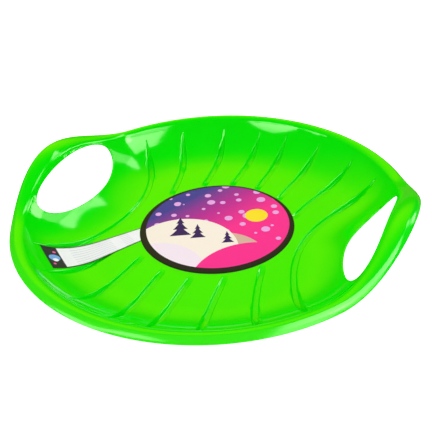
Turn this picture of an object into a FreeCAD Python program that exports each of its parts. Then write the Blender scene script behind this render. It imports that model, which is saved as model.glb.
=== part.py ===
import FreeCAD, Part
import math
import os

os.makedirs("parts", exist_ok=True)
doc = FreeCAD.newDocument("saucer_sled")

# Driving dimensions, in millimetres and degrees
SIZES = {
    "rim_radius": 285.0,        # outer edge of the rim, a circle seen from above
    "rim_width": 20.0,          # rim flange from its inner crease to the outer edge
    "grip_width": 32.5,         # the same flange where it is held
    "rim_height": 49.8,         # crest of the rim above the floor
    "grip_rise": 39.1,          # how much higher the crest stands at a grip
    "grip_half_angle": 34.5,    # the crest rises over this angle to each side of a grip
    "rim_crown": 4.0,           # crest above the inner crease
    "grip_crown": 9.2,          # the same at a grip
    "rim_fall": 9.0,            # plan width of the flange's outer face
    "rim_edge_turn": 30.0,      # angle of the rounding between the crest and the outer face
    "rim_edge_radius": 3.5,     # radius of that rounding
    "grip_edge_radius": 9.0,    # the same at a grip
    "rim_face_radius": 22.0,    # curve of the outer face
    "grip_face_radius": 11.0,   # the same at a grip
    "wall_run": 92.5,           # plan width of the curved wall, fore and aft
    "bowl_run": 123.3,          # plan width of the curved wall below a grip
    "bowl_half_angle": 45.0,    # the wall widens over this angle to each side of a grip
    "wall_sweep": 67.7,         # part of a quarter ellipse that the wall follows
    "shell_wall": 2.6,          # thickness of the moulding
    "hand_hole_length": 188.0,  # hand hole along the rim
    "hand_hole_reach": 50.4,    # hand hole across the wall, seen from above
    "hand_hole_gap": 3.5,       # hand hole to the crease of the grip
    "hand_hole_offset": 6.5,    # its longest line lies this far above its middle
    "label_margin": 15.4,       # round label to the foot of the wall below a grip
    "label_shift_x": 3.0,       # the round label is stuck on slightly off the middle
    "label_shift_y": 5.6,
    "label_thickness": 0.3,     # both labels
    "rib_depth": 3.0,           # grooves below the floor, runners below the underside
    "rib_mouth": 9.4,           # groove width at the floor
    "rib_root": 6.4,            # groove width at its bottom
    "rib_first": 20.5,          # first rib from the middle line
    "rib_outer_gap": 6.9,       # outermost rib to the foot of the wall below a grip
    "rib_bow": 55.1,            # how far the outermost rib bows outwards at the bow span
    "rib_bow_span": 150.0,      # distance fore and aft at which the bow is measured
    "rib_start_gap": 5.2,       # start of the ribs to the round label's radius
    "rib_bend": 20.5,           # ribs leave the floor level this far up the wall
    "rib_tip_gap": 11.0,        # rib tip to the crease of the rim
    "strip_bearing": 211.6,     # from the round label's middle to the strip's inner end
    "strip_heading": 235.5,     # direction in which the strip runs outwards
    "strip_rim_gap": 24.0,      # strip's outer end to the crease of the rim
    "strip_inner_width": 30.0,
    "strip_outer_width": 52.0,
    "strip_gap": 0.3,           # strip to round label
    "strip_glue": 0.15,         # strip to the curved shell below it
}

# Sizes that follow from them
DERIVED = {
    "floor_top": "rib_depth + shell_wall",
    "bowl_foot": "rim_radius - grip_width - bowl_run",
    "label_radius": "bowl_foot - label_margin",
    "grip_half_run": "bowl_run / sin(wall_sweep)",
    "grip_half_rise": "(rim_height + grip_rise - grip_crown) / (1 - cos(wall_sweep))",
    "hole_top_share": "(bowl_run - hand_hole_gap) / grip_half_run",
    "hole_low_share": "(bowl_run - hand_hole_gap - hand_hole_reach) / grip_half_run",
    "hole_top_z": "floor_top + grip_half_rise * (1 - sqrt(1 - hole_top_share ^ 2))",
    "hole_low_z": "floor_top + grip_half_rise * (1 - sqrt(1 - hole_low_share ^ 2))",
    "hole_middle_x": "rim_radius - grip_width - hand_hole_gap - hand_hole_reach / 2",
    "hole_middle_z": "(hole_top_z + hole_low_z) / 2",
    "hole_slope": "sqrt((hole_top_z - hole_low_z) ^ 2 + hand_hole_reach ^ 2)",
    "hole_tilt": "atan((hole_top_z - hole_low_z) / hand_hole_reach)",
    "hole_upper": "hole_slope / 2 - hand_hole_offset",
    "hole_lower": "hole_slope / 2 + hand_hole_offset",
    "hole_axis_x": "hole_middle_x + hand_hole_offset * cos(hole_tilt)",
    "hole_axis_z": "hole_middle_z + hand_hole_offset * sin(hole_tilt)",
}

sheet = doc.addObject("Spreadsheet::Sheet", "Sizes")
cells = [(name, str(value)) for name, value in SIZES.items()]
cells += [(name, "=" + formula) for name, formula in DERIVED.items()]
for row, (name, content) in enumerate(cells, start=1):
    sheet.set(f"A{row}", name)
    sheet.set(f"B{row}", content)
    sheet.setAlias(f"B{row}", name)
doc.recompute()


def size(name):
    return float(sheet.get(name))


WALL = size("shell_wall")
FLOOR_TOP = size("floor_top")
FLOOR_UNDER = FLOOR_TOP - WALL
RIM = size("rim_radius")
SWEEP = math.radians(size("wall_sweep"))
EDGE_TURN = math.radians(size("rim_edge_turn"))
SECTIONS = 48
CURVE_POINTS = 9


def swell(theta, half_angle):
    """1 at either grip, falling smoothly to 0 at half_angle to its sides."""
    off_axis = math.degrees(math.acos(abs(math.cos(theta))))
    share = min(off_axis / half_angle, 1.0)
    return math.cos(0.5 * math.pi * share) ** 2


def blend(low, high, share):
    return low + (high - low) * share


def around(centre, radius, angle):
    """Point on a circle in a section plane, its angle measured from straight up towards the outside."""
    return centre[0] + radius * math.sin(angle), centre[1] + radius * math.cos(angle)


class WallSection:
    """The dish wall in the upright half-plane at angle theta: part of an ellipse."""

    def __init__(self, theta):
        grip = swell(theta, size("grip_half_angle"))
        bowl = swell(theta, size("bowl_half_angle"))
        run = blend(size("wall_run"), size("bowl_run"), bowl)
        self.theta = theta
        self.crest = FLOOR_TOP + size("rim_height") + grip * size("grip_rise")
        self.crown = blend(size("rim_crown"), size("grip_crown"), grip)
        self.edge = blend(size("rim_edge_radius"), size("grip_edge_radius"), grip)
        self.face = blend(size("rim_face_radius"), size("grip_face_radius"), grip)
        self.crease_r = RIM - blend(size("rim_width"), size("grip_width"), grip)
        self.crease_z = self.crest - self.crown
        self.foot_r = self.crease_r - run
        self.half_run = run / math.sin(SWEEP)
        self.half_rise = (self.crease_z - FLOOR_TOP) / (1 - math.cos(SWEEP))

    def rz(self, angle, offset=0.0):
        r = self.foot_r + (self.half_run + offset) * math.sin(angle)
        z = FLOOR_TOP + self.half_rise - (self.half_rise + offset) * math.cos(angle)
        return r, z

    def vector(self, r, z):
        return FreeCAD.Vector(r * math.cos(self.theta), r * math.sin(self.theta), z)

    def curve(self, angle_from, angle_to, offset=0.0):
        shares = [i / (CURVE_POINTS - 1) for i in range(CURVE_POINTS)]
        points = [self.vector(*self.rz(blend(angle_from, angle_to, share), offset)) for share in shares]
        spline = Part.BSplineCurve()
        spline.interpolate(Points=points, Parameters=shares)
        return spline.toShape()

    def height(self, r):
        share = max((r - self.foot_r) / self.half_run, 0.0)
        return FLOOR_TOP + self.half_rise * (1 - math.sqrt(1 - share ** 2))

    def line(self, start, end):
        return Part.LineSegment(self.vector(*start), self.vector(*end)).toShape()

    def arc(self, centre, radius, angle_from, angle_to):
        angles = [blend(angle_from, angle_to, share) for share in (0.0, 0.5, 1.0)]
        return Part.Arc(*[self.vector(*around(centre, radius, angle)) for angle in angles]).toShape()


def dish_outline(theta):
    """Wall, rim and underside at angle theta, an open wire from the floor's top to its underside."""
    wall = WallSection(theta)
    top_r = RIM - size("rim_fall")
    across = top_r - wall.crease_r
    crown_radius = (across ** 2 + wall.crown ** 2) / (2 * wall.crown)
    crown_centre = (top_r, wall.crest - crown_radius)
    top_lean = math.asin(across / crown_radius)

    edge_centre = (top_r, wall.crest - wall.edge)
    face_centre = around(edge_centre, wall.edge - wall.face, EDGE_TURN)
    end_lean = math.asin((RIM - face_centre[0]) / wall.face)
    edge_inner = wall.edge - WALL
    face_inner = wall.face - WALL

    under_r, under_z = wall.rz(SWEEP, WALL)
    under_across = top_r - under_r
    under_drop = wall.crest - WALL - under_z
    under_radius = (under_across ** 2 + under_drop ** 2) / (2 * under_drop)
    under_centre = (top_r, wall.crest - WALL - under_radius)
    under_lean = math.asin(under_across / under_radius)

    return Part.Wire([
        wall.curve(0.0, SWEEP),
        wall.arc(crown_centre, crown_radius, -top_lean, 0.0),
        wall.arc(edge_centre, wall.edge, 0.0, EDGE_TURN),
        wall.arc(face_centre, wall.face, EDGE_TURN, end_lean),
        wall.line(around(face_centre, wall.face, end_lean), around(face_centre, face_inner, end_lean)),
        wall.arc(face_centre, face_inner, end_lean, EDGE_TURN),
        wall.arc(edge_centre, edge_inner, EDGE_TURN, 0.0),
        wall.arc(under_centre, under_radius, 0.0, -under_lean),
        wall.curve(SWEEP, 0.0, WALL),
    ])


def make_dish():
    angles = [0.5 * math.pi + 2 * math.pi * i / SECTIONS for i in range(SECTIONS)]
    skin = Part.makeLoft([dish_outline(angle) for angle in angles], False, False, True)
    faces = list(skin.Faces)
    for level in (FLOOR_TOP, FLOOR_UNDER):
        rims = []
        for edge in skin.Edges:
            box = edge.BoundBox
            if box.ZLength < 0.001 and abs(box.ZMin - level) < 0.001 and box.XLength > RIM / 2:
                rims.append(edge)
        faces.append(Part.Face(Part.Wire(rims)))
    shell = Part.makeShell(faces)
    shell.sewShape()
    solid = Part.makeSolid(shell)
    solid.fix(0.001, 0.001, 0.001)
    return solid


# Ribs: plan curves that bow outwards, pressed into the floor and fading out up the wall
LAST_RIB = 3
OUTERMOST = size("bowl_foot") + size("rib_outer_gap")
START_R = size("label_radius") + size("rib_start_gap")
CREASE = RIM - size("rim_width")
BEND_R = CREASE - size("wall_run") + size("rib_bend")
TIP_R = CREASE - size("rib_tip_gap")
TIP_SHARE = 0.08
LIFT = 2 * WALL
TRIM = 0.1 * WALL


def height_at(x, y):
    return WallSection(math.atan2(y, x)).height(math.hypot(x, y))


class Rib:
    """One rib in the quarter where x and y are positive."""

    def __init__(self, number):
        self.x_start = blend(size("rib_first"), OUTERMOST, number / LAST_RIB)
        self.bow = size("rib_bow") * (self.x_start / OUTERMOST) ** 2 / size("rib_bow_span") ** 2
        bend_y = self.y_at(BEND_R)
        self.bend_depth = height_at(self.x(bend_y), bend_y) - FLOOR_TOP + size("rib_depth")

    def x(self, y):
        return self.x_start + self.bow * y ** 2

    def y_at(self, radius):
        low, high = 0.0, radius
        for _ in range(50):
            middle = 0.5 * (low + high)
            if math.hypot(self.x(middle), middle) < radius:
                low = middle
            else:
                high = middle
        return low

    def outline(self, y, share, runner):
        """Cross-section at y: the groove's cutter, or the runner that stands out below it."""
        x = self.x(y)
        middle = FreeCAD.Vector(x, y, 0)
        side = FreeCAD.Vector(1, -2 * self.bow * y, 0).normalize()
        bottom = FLOOR_TOP - size("rib_depth")
        if share < 1:
            bottom = height_at(x, y) - self.bend_depth * share
        root = 0.5 * size("rib_root") * share
        mouth = 0.5 * size("rib_mouth") * share
        if runner:
            bottom -= WALL * blend(steepness(x, y), 1.0, share) + TRIM * share
            root += 0.6 * WALL
            mouth += 0.6 * WALL
        corners = []
        for sign in (-1, 1):
            low = middle + side * (sign * root)
            low.z = bottom
            high = middle + side * (sign * mouth)
            high.z = height_at(high.x, high.y)
            if runner:
                high.z -= 0.5 * WALL
            else:
                flank = high - low
                high = low + flank * ((flank.z + LIFT) / flank.z)
            corners.append((low, high))
        (low_a, high_a), (low_b, high_b) = corners
        return Part.makePolygon([low_a, low_b, high_b, high_a, low_a])

    def level_part(self, y_from, y_to, stations, runner):
        steps = [i / (stations - 1) for i in range(stations)]
        return Part.makeLoft([self.outline(blend(y_from, y_to, step), 1.0, runner) for step in steps], True)

    def fading_part(self, runner, stations=6):
        outlines = []
        for i in range(stations):
            step = i / (stations - 1)
            y = self.y_at(blend(BEND_R, TIP_R, step))
            outlines.append(self.outline(y, blend(1.0, TIP_SHARE, step), runner))
        return Part.makeLoft(outlines, True)


def steepness(x, y):
    """How much thicker the wall is when measured straight down."""
    radius = math.hypot(x, y)
    wall = WallSection(math.atan2(y, x))
    rise = wall.height(radius + 0.5) - wall.height(radius - 0.5)
    return math.hypot(1.0, rise)


def all_ribs(runner):
    origin = FreeCAD.Vector(0, 0, 0)
    fore_aft = FreeCAD.Vector(0, 1, 0)
    left_right = FreeCAD.Vector(1, 0, 0)
    quarter = []
    for number in range(LAST_RIB):
        rib = Rib(number)
        quarter.append(rib.level_part(rib.y_at(START_R), rib.y_at(BEND_R), 5, runner))
        quarter.append(rib.fading_part(runner))
    outer = Rib(LAST_RIB)
    quarter.append(outer.fading_part(runner))
    half = quarter + [piece.mirror(origin, fore_aft) for piece in quarter]
    bend_y = outer.y_at(BEND_R)
    half.append(outer.level_part(-bend_y, bend_y, 15, runner))
    return half + [piece.mirror(origin, left_right) for piece in half]


# The moulding: dish, runners trimmed level below it, grooves above them, then the two hand holes
ground = Part.makeBox(2 * RIM, 2 * RIM, WALL, FreeCAD.Vector(-RIM, -RIM, -WALL))
blank = doc.addObject("Part::Feature", "blank")
blank.Shape = make_dish().fuse(all_ribs(True)).cut(ground).cut(all_ribs(False))
blank.Placement = FreeCAD.Placement()


def oval_prism(name, seat, half_width):
    ring = doc.addObject("Part::Ellipse", f"{name}_ring")
    ring.setExpression("MajorRadius", "Sizes.hand_hole_length / 2")
    ring.setExpression("MinorRadius", f"Sizes.{half_width}")
    ring.setExpression("Placement", seat)
    prism = doc.addObject("Part::Extrusion", f"{name}_prism")
    prism.Base = ring
    prism.DirMode = "Normal"
    prism.Solid = True
    prism.setExpression("LengthFwd", "Sizes.hand_hole_reach / 2")
    prism.setExpression("LengthRev", "Sizes.hand_hole_reach / 2")
    return prism


# A hand hole is a flat oval above its longest line and the half of a deeper oval below that line
hole_pieces = []
for name, sign in (("left", -1), ("right", 1)):
    middle = f"create(<<vector>>; {sign} * Sizes.hole_axis_x; 0; Sizes.hole_axis_z)"
    turn = f"create(<<rotation>>; {-90 * sign}; 0; Sizes.hole_tilt)"
    seat = f"create(<<placement>>; {middle}; {turn})"
    below = doc.addObject("Part::Box", f"{name}_hole_below")
    below.setExpression("Length", "2 * Sizes.hand_hole_length")
    below.setExpression("Width", "Sizes.hand_hole_length")
    below.setExpression("Height", "2 * Sizes.hand_hole_reach")
    corner = "create(<<vector>>; -Sizes.hand_hole_length; -Sizes.hand_hole_length; -Sizes.hand_hole_reach)"
    level = "create(<<rotation>>; 0; 0; 0)"
    below.setExpression("Placement", f"{seat} * create(<<placement>>; {corner}; {level})")
    lower_half = doc.addObject("Part::Common", f"{name}_hole_lower_half")
    lower_half.Base = oval_prism(f"{name}_hole_lower", seat, "hole_lower")
    lower_half.Tool = below
    hole_pieces += [oval_prism(f"{name}_hole_upper", seat, "hole_upper"), lower_half]

hand_holes = doc.addObject("Part::MultiFuse", "hand_holes")
hand_holes.Shapes = hole_pieces
shell = doc.addObject("Part::Cut", "shell")
shell.Base = blank
shell.Tool = hand_holes

# Round label on the floor
round_label = doc.addObject("Part::Cylinder", "round_label")
round_label.setExpression("Radius", "Sizes.label_radius")
round_label.setExpression("Height", "Sizes.label_thickness")
round_label.setExpression("Placement.Base.x", "Sizes.label_shift_x")
round_label.setExpression("Placement.Base.y", "Sizes.label_shift_y")
round_label.setExpression("Placement.Base.z", "Sizes.floor_top")

# Strip label, laid from the round label over the floor and up the wall
PAPER_UNDER = size("strip_glue")
PAPER_TOP = PAPER_UNDER + size("label_thickness")
LABEL_MIDDLE = FreeCAD.Vector(size("label_shift_x"), size("label_shift_y"), 0)


def direction(degrees):
    angle = math.radians(degrees)
    return FreeCAD.Vector(math.cos(angle), math.sin(angle), 0)


def strip_corners():
    start = LABEL_MIDDLE + direction(size("strip_bearing")) * size("label_radius")
    ahead = direction(size("strip_heading"))
    across = FreeCAD.Vector(-ahead.y, ahead.x, 0)
    reach = CREASE - size("strip_rim_gap")
    along = start.dot(ahead)
    length = math.sqrt(along ** 2 + reach ** 2 - start.dot(start)) - along
    end = start + ahead * length
    inner = across * (0.5 * size("strip_inner_width"))
    outer = across * (0.5 * size("strip_outer_width"))
    return [start - inner, end - outer, end + outer, start + inner]


def paper_outline(theta):
    """Layer of paper on the floor and wall at angle theta."""
    wall = WallSection(theta)
    inner_r = 0.5 * size("label_radius")
    under_z = FLOOR_TOP + PAPER_UNDER
    top_z = FLOOR_TOP + PAPER_TOP
    return Part.Wire([
        wall.line((inner_r, under_z), (wall.foot_r, under_z)),
        wall.curve(0.0, SWEEP, -PAPER_UNDER),
        wall.line(wall.rz(SWEEP, -PAPER_UNDER), wall.rz(SWEEP, -PAPER_TOP)),
        wall.curve(SWEEP, 0.0, -PAPER_TOP),
        wall.line((wall.foot_r, top_z), (inner_r, top_z)),
        wall.line((inner_r, top_z), (inner_r, under_z)),
    ])


def make_strip():
    corners = strip_corners()
    bearings = [math.atan2(corner.y, corner.x) % (2 * math.pi) for corner in corners]
    spare = 0.1 * (max(bearings) - min(bearings))
    steps = [i / 8 for i in range(9)]
    angles = [blend(min(bearings) - spare, max(bearings) + spare, step) for step in steps]
    layer = Part.makeLoft([paper_outline(angle) for angle in angles], True)
    tall = FreeCAD.Vector(0, 0, FLOOR_TOP + size("rim_height") + size("grip_rise"))
    column = Part.Face(Part.makePolygon(corners + corners[:1])).extrude(tall)
    keep_clear = Part.makeCylinder(size("label_radius") + size("strip_gap"), tall.z, LABEL_MIDDLE)
    return layer.common(column).cut(keep_clear)


strip_label = doc.addObject("Part::Feature", "strip_label")
strip_label.Shape = make_strip()
strip_label.Placement = FreeCAD.Placement()

doc.recompute()
for node in (shell, round_label, strip_label):
    if "Invalid" in node.State or "Error" in node.State:
        raise RuntimeError(f"{node.Label} did not build: {node.State}")
    if node.Shape.isNull() or not node.Shape.isValid():
        raise RuntimeError(f"{node.Label} has no valid shape")
    node.Shape.exportStep(f"parts/{node.Label}.step")
    print(node.Label, len(node.Shape.Solids), "solid", round(node.Shape.Volume / 1000, 2), "cm3", node.Shape.BoundBox)
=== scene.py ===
# %% [markdown]
# # A saucer sled, dressed for the camera
# The sled is one glossy plastic moulding with two stickers on its floor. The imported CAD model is
# loaded first, because it fixes every size and place. Everything below is built in that same frame,
# so no piece has to be fitted by eye.

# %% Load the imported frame
import math

import bmesh
import bpy
import numpy as np
from mathutils import Matrix, Vector
from mathutils.geometry import delaunay_2d_cdt


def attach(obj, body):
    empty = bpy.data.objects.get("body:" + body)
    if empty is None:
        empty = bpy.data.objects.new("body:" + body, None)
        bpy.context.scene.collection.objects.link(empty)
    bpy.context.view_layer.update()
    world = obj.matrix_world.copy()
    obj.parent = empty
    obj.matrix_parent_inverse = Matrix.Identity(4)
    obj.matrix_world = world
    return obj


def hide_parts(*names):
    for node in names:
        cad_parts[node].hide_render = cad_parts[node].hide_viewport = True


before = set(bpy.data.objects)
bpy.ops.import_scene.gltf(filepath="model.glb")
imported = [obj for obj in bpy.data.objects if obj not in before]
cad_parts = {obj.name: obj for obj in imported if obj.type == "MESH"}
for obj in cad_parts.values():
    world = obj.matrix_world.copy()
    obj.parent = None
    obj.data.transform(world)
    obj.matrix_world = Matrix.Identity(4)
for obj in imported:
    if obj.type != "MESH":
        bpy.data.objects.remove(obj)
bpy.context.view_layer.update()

MM = 0.001
print("nodes:", sorted(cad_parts))

# %% [markdown]
# ## The dish as a formula
# A moulded dish is smooth all over, and a glossy finish shows every dent in a mesh. The wall is
# part of an ellipse in each upright plane through the middle, and its height, its foot and its
# upper crease change smoothly towards the two hand grips. Written as a formula, the surface can be
# asked for its height anywhere, which is better than reading it back from a tessellated solid.

# %% Sizes in millimetres
RIM_RADIUS, RIM_WIDTH, GRIP_WIDTH = 285.0, 20.0, 32.5
RIM_HEIGHT, GRIP_RISE, SHELL_WALL = 49.8, 39.1, 2.6
RIM_CROWN, GRIP_CROWN, RIM_FALL = 4.0, 9.2, 9.0
WALL_RUN, BOWL_RUN = 92.5, 123.3
GRIP_HALF_ANGLE, BOWL_HALF_ANGLE = math.radians(34.5), math.radians(45.0)
WALL_SWEEP = math.radians(67.7)
UPRIGHT = 0.999  # share of the half run at which the wall counts as upright
RIB_DEPTH = 3.0
FLOOR_TOP = RIB_DEPTH + SHELL_WALL
print("dish", 2 * RIM_RADIUS, "mm across, floor", FLOOR_TOP, "mm above the table")


# %% Wall height at any point
def swell(theta, half_angle):
    """1 at either grip, falling smoothly to 0 at half_angle to its sides."""
    off_axis = np.arccos(np.clip(np.abs(np.cos(theta)), 0.0, 1.0))
    return np.cos(0.5 * np.pi * np.minimum(off_axis / half_angle, 1.0)) ** 2


def blend(low, high, share):
    return low + (high - low) * share


def wall_section(theta):
    """Crest, crown, radius of the crease, foot and half axes of the wall at an angle."""
    grip = swell(theta, GRIP_HALF_ANGLE)
    run = blend(WALL_RUN, BOWL_RUN, swell(theta, BOWL_HALF_ANGLE))
    crest = FLOOR_TOP + RIM_HEIGHT + GRIP_RISE * grip
    crown = blend(RIM_CROWN, GRIP_CROWN, grip)
    crease_r = RIM_RADIUS - blend(RIM_WIDTH, GRIP_WIDTH, grip)
    half_run = run / math.sin(WALL_SWEEP)
    half_rise = (crest - crown - FLOOR_TOP) / (1 - math.cos(WALL_SWEEP))
    return crest, crown, crease_r, crease_r - run, half_run, half_rise


def wall_height(x, y, offset=0.0):
    """Inner face of the wall, or with an offset of the wall's thickness its outer face."""
    _, _, _, foot, half_run, half_rise = wall_section(np.arctan2(y, x))
    share = np.clip((np.hypot(x, y) - foot) / (half_run + offset), 0.0, UPRIGHT)
    return FLOOR_TOP + half_rise - (half_rise + offset) * np.sqrt(1 - share ** 2)


print("crest at the grip", wall_section(0.0)[0], "mm")
print("crest fore and aft", wall_section(0.5 * math.pi)[0], "mm")

# %% [markdown]
# ## Ribs
# Fourteen ribs are pressed into the dish: grooves seen from above, runners seen from below. Each
# one follows a line that bows outwards, stays level while it crosses the floor, and fades out to a
# point up the wall. On the wall it swells a little before it ends. Cutting the ribs with booleans
# would leave ragged shading, so they are part of the formula.

# %% Rib lines
RIB_FIRST, RIB_OUTER, RIB_BOW, BOW_SPAN = 20.5, 136.1, 55.1, 150.0
RIB_START, RIB_BEND, RIB_TIP = 119.0, 193.0, 254.0  # distances from the middle of the dish
RIB_LINES = np.linspace(RIB_FIRST, RIB_OUTER, 4).tolist()


def rib_bow(line):
    return RIB_BOW * (line / RIB_OUTER) ** 2 / BOW_SPAN ** 2


def rib_y(line, radius):
    """Where a rib line crosses a circle about the middle."""
    low, high = 0.0, radius
    for _ in range(50):
        middle = 0.5 * (low + high)
        if math.hypot(line + rib_bow(line) * middle ** 2, middle) < radius:
            low = middle
        else:
            high = middle
    return low


print("rib lines at", [round(line, 1) for line in RIB_LINES], "mm from the middle")

# %% Width along a rib
RIB_MOUTH, RIB_ROOT, TIP_SHARE = 5.3, 2.7, 0.06  # half widths, and the share left at the tip
SWELL_START, SWELL_DEPTH, SWELL_MOUTH, SWELL_FLANK = 182.0, 4.0, 2.2, 1.8


def ease(t):
    t = np.clip(t, 0.0, 1.0)
    return t * t * (3 - 2 * t)


def rib_share(radius):
    return 1 - (1 - TIP_SHARE) * np.clip((radius - RIB_BEND) / (RIB_TIP - RIB_BEND), 0.0, 1.0)


def rib_swell(radius, start):
    """Swell of a rib's outer end: none at the start and the tip, most half way between."""
    return np.sin(np.pi * np.clip((radius - start) / (RIB_TIP - start), 0.0, 1.0))


def rib_width(radius):
    """Half width of a rib's mouth, and the width of one flank."""
    share, bulge = rib_share(radius), rib_swell(radius, SWELL_START)
    mouth = RIB_MOUTH * share + SWELL_MOUTH * bulge
    return mouth, (RIB_MOUTH - RIB_ROOT) * share + SWELL_FLANK * bulge


print("rib", 2 * rib_width(RIB_START)[0], "mm wide on the floor,",
      round(2 * float(rib_width(RIB_BEND)[0]), 1), "mm where it meets the wall")

# %% Press the ribs into the dish
RUNNER_SPREAD = 0.6 * SHELL_WALL
RIB_LEAD, RIB_FADE = 5.0, 26.0  # a short rib fades in from a little before its start


def press_ribs(x, y, z, runner):
    """Lowers z where a rib runs: the groove in the inner face, or the runner of the outer face."""
    spread = RUNNER_SPREAD if runner else 0.0
    for line in RIB_LINES:
        bow = rib_bow(line)
        centre = line + bow * y ** 2
        across = np.abs(np.abs(x) - centre) / np.hypot(1.0, 2 * bow * y)
        if line < RIB_OUTER:
            start_y = rib_y(line, RIB_START)
            start_x = line + bow * start_y ** 2
            to_start = np.hypot(np.abs(x) - start_x, np.abs(y) - start_y)
            across = np.where(np.abs(y) < start_y, to_start, across)
        radius = np.hypot(centre, y)
        share = rib_share(radius)
        bend_y = rib_y(line, RIB_BEND)
        bend_x = line + bow * bend_y ** 2
        bend_depth = float(wall_height(bend_x, bend_y)) - FLOOR_TOP + RIB_DEPTH
        middle_z = wall_height(np.sign(x) * centre, y)
        depth = bend_depth * share + SWELL_DEPTH * rib_swell(radius, RIB_BEND)
        bottom = np.where(radius < RIB_BEND, FLOOR_TOP - RIB_DEPTH, middle_z - depth)
        if runner:
            under_z = wall_height(np.sign(x) * centre, y, SHELL_WALL)
            bottom = bottom - (middle_z - under_z) * (1 - share)
            bottom = bottom - SHELL_WALL * share
        mouth, flank = rib_width(radius)
        profile = ease((mouth + spread - across) / flank)
        profile = profile * (radius < RIB_TIP)
        if line < RIB_OUTER:
            profile = profile * ease((np.abs(y) - start_y + RIB_LEAD) / RIB_FADE)
        z = np.minimum(z, z + (bottom - z) * profile)
    return z


def inner_z(x, y):
    return press_ribs(x, y, wall_height(x, y), False)


def outer_z(x, y):
    return press_ribs(x, y, wall_height(x, y, SHELL_WALL), True)


print("groove", round(FLOOR_TOP - float(inner_z(RIB_OUTER, 0.0)), 2), "mm deep on the floor")

# %% [markdown]
# ## Hand holes
# Each hole is an oval punched square through the sloping wall, flatter above its longest line and
# deeper below it. Its edge is fully rounded, since a bare hand goes through it. The oval is laid
# out in the tilted plane of the wall and then dropped on the inner and the outer face, so both
# faces end on matching rings.

# %% Plane of a hand hole
HOLE_HALF_LENGTH, HOLE_REACH, HOLE_GAP, HOLE_OFFSET = 94.0, 50.4, 3.5, 6.5
hole_top_x = RIM_RADIUS - GRIP_WIDTH - HOLE_GAP
hole_low_x = hole_top_x - HOLE_REACH
hole_top_z = float(wall_height(hole_top_x, 0.0))
hole_low_z = float(wall_height(hole_low_x, 0.0))
hole_tilt = math.atan2(hole_top_z - hole_low_z, HOLE_REACH)
hole_half_slope = 0.5 * math.hypot(hole_top_z - hole_low_z, HOLE_REACH)
hole_up = np.array([math.cos(hole_tilt), 0.0, math.sin(hole_tilt)])
hole_through = np.array([-math.sin(hole_tilt), 0.0, math.cos(hole_tilt)])
hole_middle = np.array([0.5 * (hole_top_x + hole_low_x), 0.0, 0.5 * (hole_top_z + hole_low_z)])
hole_centre = hole_middle + HOLE_OFFSET * hole_up
print("hand hole", 2 * HOLE_HALF_LENGTH, "by", round(2 * hole_half_slope, 1), "mm, tilted",
      round(math.degrees(hole_tilt), 1), "degrees")

# %% Hand hole rings
HOLE_STEPS, HOLE_MARGIN = 220, 40
DROP_ROUNDS, DROP_SHARE = 40, 0.6
EDGE_GROW = 0.5 * SHELL_WALL
hole_turn = np.linspace(0.0, 2 * np.pi, HOLE_STEPS, endpoint=False)


def hole_depth(up):
    """Half width of the oval, above and below its longest line."""
    return np.where(up > 0, hole_half_slope - HOLE_OFFSET, hole_half_slope + HOLE_OFFSET)


def hole_ring(grow, offset):
    """Ring of the right-hand hole on the face at that offset, grown by so much all round."""
    along = (HOLE_HALF_LENGTH + grow) * np.cos(hole_turn)
    up = (hole_depth(np.sin(hole_turn)) + grow) * np.sin(hole_turn)
    flat = hole_centre + np.outer(along, (0, 1, 0)) + np.outer(up, hole_up)
    reach = np.zeros(HOLE_STEPS)
    for _ in range(DROP_ROUNDS):
        point = flat + np.outer(reach, hole_through)
        miss = point[:, 2] - wall_height(point[:, 0], point[:, 1], offset)
        reach = reach - DROP_SHARE * miss
    return flat + np.outer(reach, hole_through)


def in_hole(x, y, z, grow):
    side = np.abs(x) - hole_centre[0]
    up = side * hole_up[0] + (z - hole_centre[2]) * hole_up[2]
    inside = (up / (hole_depth(up) + grow)) ** 2 + (y / (HOLE_HALF_LENGTH + grow)) ** 2 < 1
    return inside & (np.abs(x) > hole_low_x - HOLE_MARGIN)


inner_ring = hole_ring(EDGE_GROW, 0.0)
outer_ring = hole_ring(EDGE_GROW, SHELL_WALL)
ring_crease = wall_section(np.arctan2(inner_ring[:, 1], inner_ring[:, 0]))[2]
ring_gap = ring_crease - np.hypot(inner_ring[:, 0], inner_ring[:, 1])
print("hole clear of the crease by", round(float(ring_gap.min()), 2), "mm in plan")

# %% [markdown]
# ## Meshing the two faces
# Each face of the dish is a height over the plan, so it can be meshed in plan. A Delaunay
# triangulation takes a loose net of points plus the lines that must be edges: the rib flanks, the
# hole rings and the outer border. Fine detail then costs points only where there is detail.

# %% Rib flanks in plan
FLANK_LEVELS = (0.0, 0.2, 0.5, 0.8, 1.0)
LONG_RIB_STEPS, SHORT_RIB_STEPS, CAP_STEPS = 120, 56, 9
MIRRORS = ((1, 1), (-1, 1), (1, -1), (-1, -1))


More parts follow.
